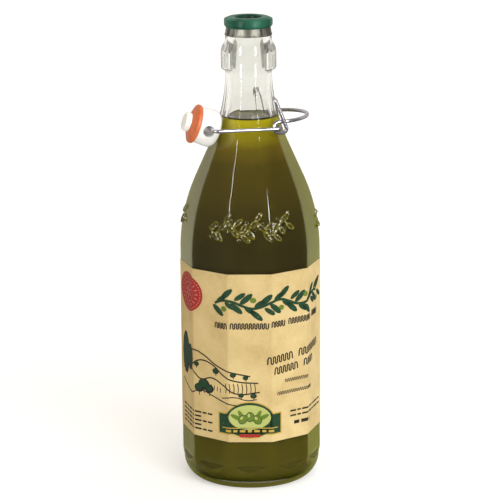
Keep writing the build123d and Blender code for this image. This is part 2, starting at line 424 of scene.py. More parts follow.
# the glass: a ten-sided shell, its facets running from the heel up the shoulder and fading in the neck
bottleGlass = {
    "facets": 10,
    "cornerRound": 2.8,                     # rounding of the edges between the facets, at the body
    "facetColumns": 7,
    "facetFoot": 16.2,                      # where the facets end above the heel
    "heelTop": 12.4,                        # where the round heel begins
    "heelRadius": 44.05,
    "heelSweep": 14.2,
    "footRadius": 36.6,
    "footInner": 32,
    "punt": 4,
    "shoulderFoot": 150,
    "shoulderSweep": 123,
    "lean": 23.2,                           # slope of the shoulder's straight stretch, in degrees
    "neckSweep": 114.1,
    "neckApothem": 14.8,
    "neckTop": 264,
    "fadeFrom": 229,                        # the facets go round from here to the neck's top
    "wall": 2.6,
    "floorEdge": 6,
    "floorCentre": 9,
    "floorCorner": 9,
    "boreRadius": 9.8,
    "boreFoot": 284,
    "paper": 0.2,                           # the label's thickness, which lies on the facets
    "ringRadius": 15.2,                     # the thick ring of the finish
    "coneFoot": (14.45, 289),               # radius and height where the cap's cone begins above it
    "coneTop": (13.8, 293.5),
    "mouthRadius": 13.2,
    "bodyRows": (20, 60, 105),              # heights of rows of faces in the straight body
    "hollowRow": 80,                        # and of the one inside
}
bodyApothem = labelHigh.y - bottleGlass["paper"]


def sideRows(bodyX, shoulderSweep, neckX, neckSweep, steps):
    # (distance from the axis, height) up the side: curve in, straight, curve out
    spec = bottleGlass
    lean = radians(spec["lean"])
    rows = []
    for step in range(steps + 1):
        turn = lean * step / steps
        height = spec["shoulderFoot"] + shoulderSweep * sin(turn)
        rows.append((bodyX - shoulderSweep * (1 - cos(turn)), height))
    neckRows = []
    for step in range(steps + 1):
        turn = lean * step / steps
        neckRows.append((neckX + neckSweep * (1 - cos(turn)), spec["neckTop"] - neckSweep * sin(turn)))
    neckRows.reverse()
    start, end = Vector(rows[-1]), Vector(neckRows[0])
    between = [tuple(start.lerp(end, share)) for share in (0.33, 0.67)]
    return rows + between + neckRows


def outerSide(steps=14):
    spec = bottleGlass
    return sideRows(bodyApothem, spec["shoulderSweep"], spec["neckApothem"], spec["neckSweep"], steps)


def innerSide(grow=0, steps=14):
    # the hollow's side, moved out into the wall by grow
    spec = bottleGlass
    wall = spec["wall"] - grow
    return sideRows(bodyApothem - wall, spec["shoulderSweep"] - wall, spec["neckApothem"] - wall,
                    spec["neckSweep"] + wall, steps)


def innerFoot(grow=0, steps=6):
    # the hollow's floor and its round corner, from the axis outwards
    spec = bottleGlass
    inside = bodyApothem - spec["wall"]
    corner = spec["floorCorner"]
    rows = [(0.6, spec["floorCentre"] - grow), (inside * 0.5, spec["floorCentre"] - 0.8 - grow)]
    for step in range(steps + 1):
        turn = radians(90) * step / steps
        reach = corner + grow
        rows.append((inside - corner + reach * sin(turn), spec["floorEdge"] + corner - reach * cos(turn)))
    return rows


def shoulderRadius(height):
    # apothem of the outside at a height on the shoulder's curve
    spec = bottleGlass
    turn = asin((height - spec["shoulderFoot"]) / spec["shoulderSweep"])
    return bodyApothem - spec["shoulderSweep"] * (1 - cos(turn))


def roundness(height):
    # how round the neck is at a height, from 0, ten flat facets, to 1, a circle
    spec = bottleGlass
    share = (height - spec["fadeFrom"]) / (spec["neckTop"] - 2 - spec["fadeFrom"])
    return max(0, min(1, share)) ** 1.5


def facetRing(name, apothem, height):
    # an open ring round the ten facets, its corners rounded, open for editing with all its edges picked
    corner = pi / bottleGlass["facets"]
    bpy.ops.mesh.primitive_circle_add(
        vertices=bottleGlass["facets"], radius=apothem / cos(corner) * mm, fill_type="NGON",
        location=(0, 0, height * mm), rotation=(0, 0, corner))
    ring = nameLast(name)
    openPiece(ring)
    bpy.ops.mesh.select_all(action="SELECT")
    bpy.ops.mesh.bevel(offset=bottleGlass["cornerRound"] * tan(corner) * mm, segments=6, affect="VERTICES")
    bpy.ops.mesh.delete(type="ONLY_FACE")
    bpy.ops.mesh.select_all(action="SELECT")
    bpy.ops.mesh.select_mode(type="EDGE")
    return ring


def makeBottle():
    spec = bottleGlass
    bottle = facetRing("glassBottle", bodyApothem, spec["facetFoot"])
    bpy.ops.mesh.select_all(action="DESELECT")
    pick(bottle, "edges", lambda edge: edge.calc_length() > 2 * spec["cornerRound"] * mm)
    bpy.ops.mesh.subdivide(number_cuts=spec["facetColumns"] - 1)

    # upwards: the body and the shoulder keep their facets, which fade in the neck
    bpy.ops.mesh.select_all(action="SELECT")
    meanToApothem = pickedRing(bottle)[0] / bodyApothem
    for height in spec["bodyRows"]:
        growRing(bottle, bodyApothem * meanToApothem, height)
    wasRound = 0
    for apothem, height in outerSide(18):
        nowRound = roundness(height)
        growRing(bottle, apothem * (meanToApothem + (1 - meanToApothem) * nowRound), height)
        if nowRound > wasRound:
            bpy.ops.transform.tosphere(value=(nowRound - wasRound) / (1 - wasRound))
            wasRound = nowRound
    # the finish, the mouth, and down inside
    for radius, height in finishOutline():
        growRing(bottle, radius, height)
    for radius, height in reversed(innerFoot() + [(bodyApothem - spec["wall"], spec["hollowRow"])] + innerSide(0, 18)):
        growRing(bottle, radius, height)
    bpy.ops.mesh.edge_face_add()

    # downwards: a sloping ledge takes the facets into the round heel, and the foot turns in under it
    bpy.ops.mesh.select_all(action="DESELECT")
    foot = spec["facetFoot"] * mm
    pick(bottle, "edges", lambda edge: all(abs(end.co.z - foot) < 1e-7 for end in edge.verts))
    growRing(bottle, spec["heelRadius"], spec["heelTop"])
    bpy.ops.transform.tosphere(value=1)
    for radius, height in footOutline():
        growRing(bottle, radius, height)
    bpy.ops.mesh.edge_face_add()
    bpy.ops.mesh.select_mode(type="VERT")
    closePiece()
    cleanMesh(bottle, 30)
    return bottle


def finishOutline():
    # the thick ring above the neck, its hollow-sided cone, the mouth and the bore
    spec = bottleGlass
    ring = spec["ringRadius"]
    corners = [
        (14.95, 267, 3),
        (ring, 272, 6),
        (ring, 283, 6),
        (*spec["coneFoot"], 9),
        (*spec["coneTop"], 0.4),
        (spec["mouthRadius"], spec["coneTop"][1] + 0.4, 0.2),
        (spec["mouthRadius"], bottleHigh.z, 0.5),
        (spec["boreRadius"], bottleHigh.z, 0.8),
        (spec["boreRadius"], spec["boreFoot"], 12),
        (spec["neckApothem"] - spec["wall"], spec["neckTop"] + 1, 0),
    ]
    return roundedOutline(corners, 4)


def coneRadius(height):
    # radius of the finish's cone, under the cap
    (footRadius, foot), (topRadius, top) = bottleGlass["coneFoot"], bottleGlass["coneTop"]
    return footRadius - (height - foot) * (footRadius - topRadius) / (top - foot)


def footOutline():
    spec = bottleGlass
    sweep = spec["heelSweep"]
    turnTo = 2 * atan((spec["heelRadius"] - spec["footRadius"]) / spec["heelTop"])
    rows = []
    for step in range(1, 11):
        turn = turnTo * step / 10
        rows.append((spec["heelRadius"] - sweep * (1 - cos(turn)), spec["heelTop"] - sweep * sin(turn)))
    rows[-1] = (spec["footRadius"], 0)
    rows += [(spec["footInner"], 0), (spec["footInner"] - 2, 0.6)]
    for share in (0.8, 0.6, 0.4, 0.2, 0.03):
        rows.append((spec["footInner"] * share, spec["punt"] * (1 - share * share)))
    return rows


bottle = makeBottle()


# the two lugs of the finish, left and right, and the dimple in each that takes the closure's pin
finishLugs = {
    "radius": 17.6,
    "root": 13,
    "arc": 95,
    "foot": 266.9,
    "shoulder": 279.2,
    "top": 283.6,
    "topRadius": 15.8,
    "endShare": 0.9,                       # the ends are lower by this share, over a run in millimetres
    "endRun": 6,
    "ease": 1.3,
    "dimpleTurn": 44,
    "dimpleHeight": 278,
    "dimpleRadius": 2.3,
    "dimpleDepth": 1.4,
}


def makeLug(turn):
    # the lug's section is spun about the Z axis, then its edges are eased
    spec = finishLugs
    section = [(spec["root"], spec["foot"]), (spec["radius"], spec["foot"]), (spec["radius"], spec["shoulder"]),
               (spec["topRadius"], spec["top"]), (spec["root"], spec["top"])]
    bpy.ops.mesh.primitive_circle_add(vertices=len(section), radius=1 * mm, fill_type="NGON",
                                      rotation=(radians(90), 0, 0))
    lug = nameLast("lug")
    for vertex, (x, z) in zip(lug.data.vertices, section):
        vertex.co = Vector((x, 0, z)) * mm
    openPiece(lug)
    bpy.ops.mesh.select_all(action="SELECT")
    bpy.ops.mesh.spin(steps=28, angle=-radians(spec["arc"]), center=(0, 0, 0), axis=(0, 0, 1))
    # both ends run out gently into the ring
    half, rim = radians(spec["arc"] / 2), (spec["topRadius"] - 0.1) * mm
    bpy.ops.mesh.select_all(action="DESELECT")
    pick(lug, "verts", lambda vertex: vertex.co.xy.length > rim
         and abs(abs(atan2(vertex.co.y, vertex.co.x) - half) - half) < 0.01)
    bpy.ops.transform.resize(value=(spec["endShare"], spec["endShare"], 1), center_override=(0, 0, 0),
                             use_proportional_edit=True, proportional_edit_falloff="SMOOTH",
                             proportional_size=spec["endRun"] * mm, use_proportional_connected=True)
    bpy.ops.mesh.select_mode(type="EDGE")
    bpy.ops.mesh.select_all(action="DESELECT")
    pick(lug, "edges", lambda edge: len(edge.link_faces) == 2 and edge.calc_face_angle() > radians(20)
         and all(end.co.xy.length > rim for end in edge.verts))
    bpy.ops.mesh.bevel(offset=spec["ease"] * mm, segments=5)
    bpy.ops.mesh.select_mode(type="VERT")
    closePiece()
    lug.rotation_euler.z = radians(turn - spec["arc"] / 2)
    activate(lug)
    bpy.ops.object.transform_apply()
    cleanMesh(lug, 30)
    return lug


def makeDimple(turn):
    spec = finishLugs
    reach = (spec["radius"] - spec["dimpleDepth"] + spec["dimpleRadius"]) * mm
    place = (reach * cos(radians(turn)), reach * sin(radians(turn)), spec["dimpleHeight"] * mm)
    bpy.ops.mesh.primitive_uv_sphere_add(segments=32, ring_count=16, radius=spec["dimpleRadius"] * mm,
                                         location=place)
    return nameLast("dimple")


def cutOrAdd(piece, tools, operation):
    for tool in tools:
        applyModifier(piece, "BOOLEAN", operation=operation, object=tool, solver="MANIFOLD")
        bpy.data.objects.remove(tool)

# the garland raised in the glass of the shoulder, three times round: a waving stem with leaves and berries
shoulderGarland = {
    "copies": 3,
    "reach": 38,                            # degrees to each side of a copy's middle
    "pairs": 5,                             # pairs of leaves to each side of the middle one
    # turn on from the pair's place, height over the stem, slope; the last two change side from pair to pair
    "leaves": [(1.6, 3.6, 52), (4, -2.8, -38)],
    "berry": (-2, -3.8),
    "height": 172,
    "tall": 30,                             # of the band that holds it all
    "wave": 3.6,
    "waves": 3,
    "stemRadius": 0.7,
    "leafSize": (7.4, 3.3, 1.7),            # length, width, thickness
    "berryRadius": 1.2,
}


def onShoulder(turn, height):
    # a point of the faceted shoulder at a turn about the Z axis, its outward way and its way round
    corners = bottleGlass["facets"]
    facetTurn = 360 / corners
    middle = round((turn + 90) / facetTurn) * facetTurn - 90
    apothem = shoulderRadius(height)
    ease = bottleGlass["cornerRound"] * apothem / bodyApothem
    offCorner = radians(facetTurn / 2 - abs(turn - middle))
    rounded = (apothem - ease) / cos(pi / corners) + ease
    radius = min(apothem / cos(radians(turn - middle)), rounded / cos(offCorner * 0.4))
    way = Vector((cos(radians(turn)), sin(radians(turn)), 0))
    normal = Vector((cos(radians(middle)), sin(radians(middle)), 0))
    lean = asin((height - bottleGlass["shoulderFoot"]) / bottleGlass["shoulderSweep"])
    normal = normal * cos(lean) + Vector((0, 0, sin(lean)))
    around = Vector((0, 0, 1)).cross(normal).normalized()
    return (way * radius + Vector((0, 0, height))) * mm, normal, around


def garlandHeight(share):
    # height of the stem's middle, along its run from -1 to 1
    spec = shoulderGarland
    return spec["height"] + spec["wave"] * sin(share * spec["waves"] * pi)


def makeStem(middle):
    spec = shoulderGarland
    line = bpy.data.curves.new("stem", "CURVE")
    line.dimensions = "3D"
    line.bevel_depth = spec["stemRadius"] * mm
    line.bevel_resolution = 2
    line.use_fill_caps = True
    steps = 72
    spline = line.splines.new("POLY")
    spline.points.add(steps)
    for step, knot in enumerate(spline.points):
        share = 2 * step / steps - 1
        place = onShoulder(middle + share * spec["reach"], garlandHeight(share))[0]
        knot.co = (*place, 1)
        knot.radius = 1 - 0.5 * abs(share) ** 3
    stem = bpy.data.objects.new("stem", line)
    bpy.context.scene.collection.objects.link(stem)
    activate(stem)
    bpy.ops.object.convert(target="MESH")
    stem = bpy.context.object
    cleanMesh(stem, 60)
    return stem


def makeLeaf(turn, height, slope):
    length, width, thick = shoulderGarland["leafSize"]
    place, normal, around = onShoulder(turn, height)
    along = Matrix.Rotation(radians(slope), 3, normal) @ around
    bpy.ops.mesh.primitive_uv_sphere_add(segments=16, ring_count=8, radius=0.5)
    leafPiece = nameLast("leaf")
    frameOf = Matrix((along * length, normal.cross(along) * width, normal * thick)).transposed() * mm
    leafPiece.matrix_world = Matrix.Translation(place) @ frameOf.to_4x4()
    activate(leafPiece)
    bpy.ops.object.transform_apply()
    return leafPiece


def makeBerry(turn, height):
    place = onShoulder(turn, height)[0]
    bpy.ops.mesh.primitive_uv_sphere_add(segments=16, ring_count=8, location=place,
                                         radius=shoulderGarland["berryRadius"] * mm)
    return nameLast("berry")


def makeGarland():
    spec = shoulderGarland
    pieces = []
    for copy in range(spec["copies"]):
        middle = -90 + 360 * copy / spec["copies"]
        pieces.append(makeStem(middle))
        for step in range(-spec["pairs"], spec["pairs"] + 1):
            share = step / (spec["pairs"] + 0.5)
            turn, height = middle + share * spec["reach"], garlandHeight(share)
            side = 1 if step % 2 else -1
            for on, over, slope in spec["leaves"]:
                pieces.append(makeLeaf(turn + on, height + side * over, side * slope))
            on, over = spec["berry"]
            pieces.append(makeBerry(turn + on, height + side * over))
    return pieces


cutOrAdd(bottle, makeGarland(), "UNION")
cutOrAdd(bottle, [makeLug(0), makeLug(180)], "UNION")
cutOrAdd(bottle, [makeDimple(side + finishLugs["dimpleTurn"]) for side in (180, 0)], "DIFFERENCE")
shadeSmooth(bottle, 30)


def markRaised(piece):
    # how far, in millimetres, each point of the garland stands out of the shoulder, for the glass's material
    spec = shoulderGarland
    marks = piece.data.attributes.new("raised", "FLOAT", "POINT")
    for vertex, mark in zip(piece.data.vertices, marks.data):
        place = vertex.co / mm
        if abs(place.z - spec["height"]) < spec["tall"] / 2:
            shoulder = onShoulder(degrees(atan2(place.y, place.x)), place.z)[0] / mm
            mark.value = max(0, place.xy.length - shoulder.xy.length)


markRaised(bottle)

# the glass as a material, with the oil's light and the garland's edges in it
clearGlassLook = {
    "tint": (0.88, 0.885, 0.86),
    "slantColour": (0.50, 0.52, 0.03),      # the oil's light, where the wall is seen at a slant
    "slantShare": 0.2,
    "edgeColour": (0.17, 0.15, 0.012),      # the light caught along the raised garland's edges
    "sparkle": (0.8, 0.8, 0.76),
    "edgeShare": 0.85,
    "ledgeShadeColour": (0.05, 0.045, 0.008),    # painted shade on the lens-shaped ledge under each facet
    "ledgeShadeShare": 0.6,
    "ledgeDeep": 3.8,
    "ledgeEnd": 4.3,                        # degrees from a corner
    "heelShadeColour": (0.125, 0.115, 0.024),    # painted shade over the glass at the foot, near the floor
    "heelShadeShare": 0.75,
    "heelHigh": 6,
}


def layOver(material, under, share, colour):
    # a matt colour over what is below, by its share
    if not isinstance(colour, bpy.types.NodeSocket):
        colour = (*colour, 1)
    light = addNode(material, "BsdfDiffuse", {"Color": colour}).outputs[0]
    return addNode(material, "MixShader", {0: share, 1: under, 2: light}).outputs[0]


def ledgeShade(material, place, height):
    # painted shade on each ledge: level above and curved below, as wide as the round heel stands out past the facet
    spec = clearGlassLook
    foot, halfFacet = bottleGlass["facetFoot"], pi / bottleGlass["facets"]
    turn = mathValue(material, "ARCTAN2", axisOf(material, place, "Y"), axisOf(material, place, "X"))
    fromCorner = mathValue(material, "PINGPONG", turn, halfFacet)
    across = mapValue(material, fromCorner, radians(spec["ledgeEnd"]), halfFacet, 1, 0)
    below = mapValue(material, height, (foot - spec["ledgeDeep"]) * mm, foot * mm, 1, 0)
    outwards = mathValue(material, "ADD", product(material, across, across), below)
    shade = mapValue(material, outwards, 0.84, 1, spec["ledgeShadeShare"], 0)
    shade = product(material, shade, mapValue(material, height, foot * mm, (foot + 0.3) * mm, 1, 0))
    facing = addNode(material, "NewGeometry").outputs["True Normal"]
    outward = addNode(material, "VectorMath", {0: facing, 1: place}, operation="DOT_PRODUCT").outputs["Value"]
    return product(material, shade, mapValue(material, outward, 0, 5 * mm, 0, 1))


def clearGlass():
    spec = clearGlassLook
    material, shader = startMaterial("clearGlass", Roughness=0.0, IOR=1.5)
    shader.inputs["Transmission Weight"].default_value = 1
    shader.inputs["Base Color"].default_value = (*spec["tint"], 1)
    place = objectPlace(material)
    addBump(material, shader, noiseValue(material, place, 45, 2), 0.02 * mm)
    height = axisOf(material, place, "Z")
    filled = mapValue(material, height, (oilHigh.z - 14) * mm, (oilHigh.z - 2) * mm, 1, 0)
    slanted = product(material, slantValue(material, 0.5, 0.72, spec["slantShare"]), filled)
    mixed = layOver(material, shader.outputs[0], slanted, spec["slantColour"])
    raised = addNode(material, "Attribute", attribute_name="raised").outputs["Fac"]
    risen = mapValue(material, raised, 0.04, 0.14, 0, spec["edgeShare"])
    crest = mapValue(material, raised, 0.6, 0.8, 1, 0.1)
    speckle = mapValue(material, noiseValue(material, place, 800, 2), 0.58, 0.64, 0, 1)
    caught = mixColour(material, speckle, spec["edgeColour"], spec["sparkle"])
    mixed = layOver(material, mixed, product(material, risen, crest), caught)
    heelTop = spec["heelHigh"] * mm
    # painted shade over the lowest glass of the foot
    heelShade = mapValue(material, height, heelTop - 1 * mm, heelTop, spec["heelShadeShare"], 0)
    mixed = layOver(material, mixed, heelShade, spec["heelShadeColour"])
    # painted shade on the lens-shaped ledge under each facet
    mixed = layOver(material, mixed, ledgeShade(material, place, height), spec["ledgeShadeColour"])
    join(material, mixed, material.node_tree.nodes["Material Output"].inputs["Surface"])
    return material


wear(bottle, clearGlass())
print("glass bottle:", len(bottle.data.polygons), "faces")


# the oil: dense and cloudy, with painted light making it brighter where the neck is thin, its side just inside the
# glass of the wall
oliveOil = {
    "intoWall": 0.3,
    "levelDrop": 0.3,
    "meniscus": 0.5,
    "topColours": [(0.12, 0.1, 0.012), (0.3, 0.25, 0.05)],
    "levelShadeColour": (0.02, 0.016, 0.003),     # painted shade: the dark line round the level, and how tall it is
    "levelShadeTall": 0.7,
    "topReach": 14.5,                       # how far out the open top's own colours go
    "heights": [                            # height, colour: the oil's own colour with painted light, lighter at the foot and much lighter up the thin neck
        (0, (0.2, 0.17, 0.021)),
        (12, (0.128, 0.107, 0.013)),
        (40, (0.13, 0.11, 0.013)),
        (90, (0.06, 0.047, 0.008)),
        (158, (0.051, 0.04, 0.007)),
        (175, (0.068, 0.053, 0.007)),
        (190, (0.09, 0.067, 0.008)),
        (209, (0.108, 0.081, 0.008)),
        (219, (0.19, 0.135, 0.009)),
        (228, (0.45, 0.37, 0.010)),
        (237, (0.63, 0.535, 0.013)),
    ],
    "edgeColour": (0.15, 0.155, 0.01),       # painted light where the side is seen at a slant
}


def makeOil():
    spec = oliveOil
    level = oilHigh.z - spec["levelDrop"]
    side = [(x, z) for x, z in innerSide(spec["intoWall"]) if z < level - 1]
    foot = innerFoot(spec["intoWall"])
    rimX = side[-1][0] - (level - side[-1][1]) * tan(radians(bottleGlass["lean"]))
    lip = spec["meniscus"]
    top = [(rimX, level + lip), (rimX - 0.5, level + lip), (rimX - 1, level + 0.4 * lip), (rimX - 2, level)]
    wall = [(side[0][0], bottleGlass["hollowRow"])]
    oil = turnPiece("oliveOil", foot + wall + side + top + [(rimX / 2, level), (0.5, level)])
    cleanMesh(oil, 40)
    return oil


def oilMaterial():
    spec = oliveOil
    material, shader = startMaterial("oliveOilBody", Roughness=0.35)
    place = addNode(material, "TexCoord").outputs["Object"]
    height = axisOf(material, place, "Z")
    cloud = mapValue(material, noiseValue(material, place, 30, 2), 0.3, 0.7, -1.5 * mm, 1.5 * mm)
    share = mapValue(material, mathValue(material, "ADD", height, cloud), 0, oilHigh.z * mm, 0, 1)
    # the oil's own colour with painted light, lighter at the foot and much lighter up the thin neck
    body = rampColour(material, share, [(z / oilHigh.z, colour) for z, colour in spec["heights"]])
    # painted light where the side is seen at a slant
    slanted = mixColour(material, slantValue(material, 0.25, 0.75), body, spec["edgeColour"])
    level = oilHigh.z - spec["levelDrop"]
    # painted shade: a dark line just under the level
    line = mapValue(material, height, (level - spec["levelShadeTall"]) * mm, (level - 0.3) * mm, 0, 1)
    join(material, mixColour(material, line, slanted, spec["levelShadeColour"]), shader.inputs["Base Color"])
    shader.inputs["Specular IOR Level"].default_value = 0
    return material


def oilTopMaterial():
    spec = oliveOil
    material, shader = startMaterial("oliveOilTop", Roughness=0.08, IOR=1.47)
    patch = noiseValue(material, objectPlace(material), 260, 4)
    join(material, rampColour(material, patch, [(0.4, spec["topColours"][0]), (0.62, spec["topColours"][1])]),
         shader.inputs["Base Color"])
    addBump(material, shader, noiseValue(material, objectPlace(material), 400, 2), 0.05 * mm)
    return material


oil = makeOil()
wear(oil, oilMaterial(), oilTopMaterial())
topHeight = (oilHigh.z - oliveOil["levelDrop"] - 0.01) * mm
for face in oil.data.polygons:
    isInside = face.center.xy.length < oliveOil["topReach"] * mm
    if isInside and face.center.z > topHeight and face.normal.z > 0.9:
        face.material_index = 1
finishPiece(oil, "filled_bottle", "olive_oil", "oil")
print("oil:", len(oil.data.polygons), "faces")

# the green cap: a thick disc with a soft round rim and a small dish in its top
greenCap = {
    "radius": capHigh.x,
    "overMouth": 13.25,
    "mouthTop": 294.95,
    "rimCrest": 12.4,
    "dish": 8.4,
    "dishDepth": 3,
    "colour": (0.006, 0.062, 0.036),
    "colourLight": (0.035, 0.17, 0.105),
    # painted shade inside the dish
    "dishShadeColour": (0.001, 0.014, 0.008),
}


def makeCap():
    spec = greenCap
    foot, top = capLow.z, capHigh.z
    corners = [
        (0.5, spec["mouthTop"], 0),
        (spec["overMouth"], spec["mouthTop"], 0.2),
        (spec["overMouth"], foot, 0.2),
        (spec["radius"] - 1.1, foot, 0.6),
        (spec["radius"], foot + 1.4, 1),
        (spec["radius"], top - 1.2, 0.8),
        (spec["rimCrest"], top, 2.5),
        (spec["dish"], top - 0.1, 1.2),
        (spec["dish"] - 1, top - spec["dishDepth"], 0.9),
        (0.4, top - spec["dishDepth"] - 0.2, 0),
    ]
    cap = turnPiece("greenCap", roundedOutline(corners, 6), 128)
    cleanMesh(cap, 40)
    return cap


def capPlastic():
    spec = greenCap
    material, shader = startMaterial("capPlastic", Roughness=0.25)
    place = objectPlace(material)
    shade = noiseValue(material, objectPlace(material, (1, 1, 0.1)), 95, 3)
    tone = rampColour(material, shade, [(0.35, spec["colour"]), (0.65, spec["colourLight"])])
    flat = objectPlace(material, (1, 1, 0))
    radius = addNode(material, "VectorMath", {0: flat}, operation="LENGTH").outputs["Value"]
    # painted shade inside the dish, over the green
    dishShade = mapValue(material, radius, (spec["dish"] - 1) * mm, (spec["dish"] + 1.2) * mm, 0.9, 0)
    join(material, mixColour(material, dishShade, tone, spec["dishShadeColour"]), shader.inputs["Base Color"])
    scuff = mapValue(material, noiseValue(material, place, 900, 3), 0.3, 0.7, 0.3, 0.42)
    join(material, scuff, shader.inputs["Roughness"])
    shader.inputs["Specular IOR Level"].default_value = 0.18
    addBump(material, shader, noiseValue(material, place, 700, 3), 0.008 * mm)
    return material


cap = makeCap()
wear(cap, capPlastic())
finishPiece(cap, "filled_bottle", "green_cap", "cap")

# the metal skirt under it, pressed onto the cone of the finish, with a rolled lower edge
metalSkirt = {
    "gap": 0.05,
    "thickness": 0.25,
    "roll": 0.3,
    "colourDark": (0.075, 0.073, 0.056),
    "colourLight": (0.31, 0.305, 0.255),
}


def makeSkirt():
    spec = metalSkirt
    foot, top = skirtLow.z, skirtHigh.z
    low, high = coneRadius(foot) + spec["gap"], coneRadius(top) + spec["gap"]
    thick, roll = spec["thickness"], spec["roll"]
    corners = [
        ((low + high) / 2, (foot + top) / 2, 0),
        (low, foot, 0.05),
        (low + thick + roll, foot, 0.25),
        (low + thick + roll * 0.8, foot + 0.9, 0.25),
        (low + thick - 0.1, foot + 1.2, 0.2),
        (high + thick, top, 0.1),
        (high, top, 0.05),
        ((low + high) / 2, (foot + top) / 2, 0),
    ]
    skirt = turnPiece("capSkirt", roundedOutline(corners, 3), 120, ring=True)
    cleanMesh(skirt, 40)
    return skirt


def skirtMetal():
    spec = metalSkirt
    material, shader = startMaterial("skirtMetal", Metallic=0.85, Roughness=0.5)
    # darker and lighter vertical streaks at random places: partly the foil's own streaky look, partly painted
    # reflection
    streak = noiseValue(material, objectPlace(material, (1, 1, 0.04)), 330, 3)
    tone = rampColour(material, streak, [(0.38, spec["colourDark"]), (0.6, spec["colourLight"])])
    join(material, tone, shader.inputs["Base Color"])
    addBump(material, shader, streak, 0.12 * mm)
    return material


skirt = makeSkirt()
wear(skirt, skirtMetal())
finishPiece(skirt, "filled_bottle", "skirt_foil", "cap_skirt")
print("cap and skirt:", len(cap.data.polygons) + len(skirt.data.polygons), "faces")

# the swing closure hangs round the neck: the stopper sits on the bail's cross wire, which is its hinge
closure = {
    "tilt": 18.5,
    "side": 5,                              # off the hinge's middle, along the wire
    "holeLag": 1.4,                         # the wire lies this far off the hole's middle
    "holeBelowAxis": 1.1,
    "holeRadius": 3.5,
    "holeEase": 0.5,
    # the stopper's own axis is Z, its seat towards the tip
    "headRadius": 12.5,
    "headFoot": -8.3,
    "seatRadius": 11.3,
    "seat": 6,
    "stemRadius": 5.2,
    "tipFoot": 10.8,
    "tipRadius": 6.1,
    "tipEnd": 14.6,
    "gasketEdge": 2.3,                      # thickness at its rim
    "gasketCrest": 6.9,                     # radius where it meets the tip
    "whites": [(0.87, 0.88, 0.87), (0.92, 0.92, 0.91)],
    "oranges": [(0.58, 0.125, 0.032), (0.70, 0.17, 0.05)],
    "steels": [(0.42, 0.41, 0.46), (0.7, 0.69, 0.74)],
}
hinge = next(joint for joint in frame["joints"] if joint["name"] == "stopper_swing")
front = Vector(hinge["axis"]).normalized()  # along the wire
up = Vector((0, 0, 1))
run = up.cross(front)                       # from the stopper to the lever


def onStopper(piece):
    # moves a piece turned about the Z axis to the stopper's place, its tip up and to the left
    spec = closure
    tilt = radians(spec["tilt"])
    tipWay = run * -cos(tilt) + up * sin(tilt)
    topWay = run * sin(tilt) + up * cos(tilt)
    middle = Vector(hinge["pos_m"]) / mm + front * spec["side"] - (run + up) * spec["holeLag"]
    middle += topWay * spec["holeBelowAxis"]
    place = Matrix((topWay, tipWay.cross(topWay), tipWay)).transposed().to_4x4()
    place.translation = middle * mm
    piece.matrix_world = place
    activate(piece)
    bpy.ops.object.transform_apply()


def makeStopper():
    spec = closure
    stem, foot, tip = spec["stemRadius"], spec["tipFoot"], spec["tipRadius"]
    corners = [
        (0.6, spec["headFoot"], 0),
        (spec["headRadius"], spec["headFoot"], 5.2),
        (spec["seatRadius"], spec["seat"], 0.6),
        (stem, spec["seat"], 0.3),
        (stem, foot, 0.3),
        (tip, foot, 0.3),
        (tip, spec["tipEnd"], 1.5),
        (0.5, spec["tipEnd"], 0),
    ]
    stopper = turnPiece("stopper", roundedOutline(corners, 6), 96)
    cleanMesh(stopper, 40)
    hole, offAxis = spec["holeRadius"] * mm, -spec["holeBelowAxis"] * mm
    bpy.ops.mesh.primitive_cylinder_add(vertices=48, radius=hole, depth=40 * mm, location=(offAxis, 0, 0),
                                        rotation=(radians(90), 0, 0))
    drill = nameLast("drill")
    applyModifier(stopper, "BOOLEAN", operation="DIFFERENCE", object=drill, solver="EXACT")
    bpy.data.objects.remove(drill)

    def onHoleMouth(edge):
        # the mouth's edges lie on the hole's wall and on the stopper's outside
        ends = [Vector((end.co.x - offAxis, end.co.z)) for end in edge.verts]
        isWall = all(abs(end.length - hole) < 0.01 * mm for end in ends)
        return isWall and edge.is_manifold and edge.calc_face_angle() > radians(35)

    openPiece(stopper)
    bpy.ops.mesh.select_mode(type="EDGE")
    pick(stopper, "edges", onHoleMouth)
    bpy.ops.mesh.bevel(offset=spec["holeEase"] * mm, segments=3)
    bpy.ops.mesh.select_mode(type="VERT")
    closePiece()
    cleanMesh(stopper, 40)
    onStopper(stopper)
    return stopper


def makeGasket():
    # it fills the room between the seat and the tip, a hair clear of both
    spec = closure
    bore, rim = spec["stemRadius"] + 0.1, spec["headRadius"]
    foot, crest = spec["seat"] + 0.02, spec["tipFoot"] - 0.03
    edge = spec["seat"] + spec["gasketEdge"]
    corners = [
        (bore, (foot + crest) / 2, 0),
        (bore, foot, 0.1),
        (rim, foot, 0.8),
        (rim, edge, 0.8),
        (spec["gasketCrest"], crest, 0.6),
        (bore, crest, 0.3),
        (bore, (foot + crest) / 2, 0),
    ]
    gasket = turnPiece("gasket", roundedOutline(corners, 5), 96, ring=True)
    cleanMesh(gasket, 40)
    onStopper(gasket)
    return gasket


def mottled(name, shades, low, scale, detail, **sockets):
    # a material in two shades of a colour, in soft patches; the ramp's lower end is low
    material, shader = startMaterial(name, **sockets)
    place = objectPlace(material)
    tone = noiseValue(material, place, scale, detail)
    join(material, rampColour(material, tone, [(low, shades[0]), (1 - low, shades[1])]), shader.inputs["Base Color"])
    return material, shader, place


def stopperPlastic():
    material, shader, place = mottled("stopperPlastic", closure["whites"], 0.35, 150, 4, Roughness=0.16)
    shader.inputs["Coat Weight"].default_value = 0.3
    addBump(material, shader, noiseValue(material, place, 500, 3), 0.02 * mm)
    return material


def gasketRubber():
    material, shader, place = mottled("gasketRubber", closure["oranges"], 0.3, 260, 4, Roughness=0.42)
    addBump(material, shader, noiseValue(material, place, 1400, 3), 0.03 * mm)
    return material


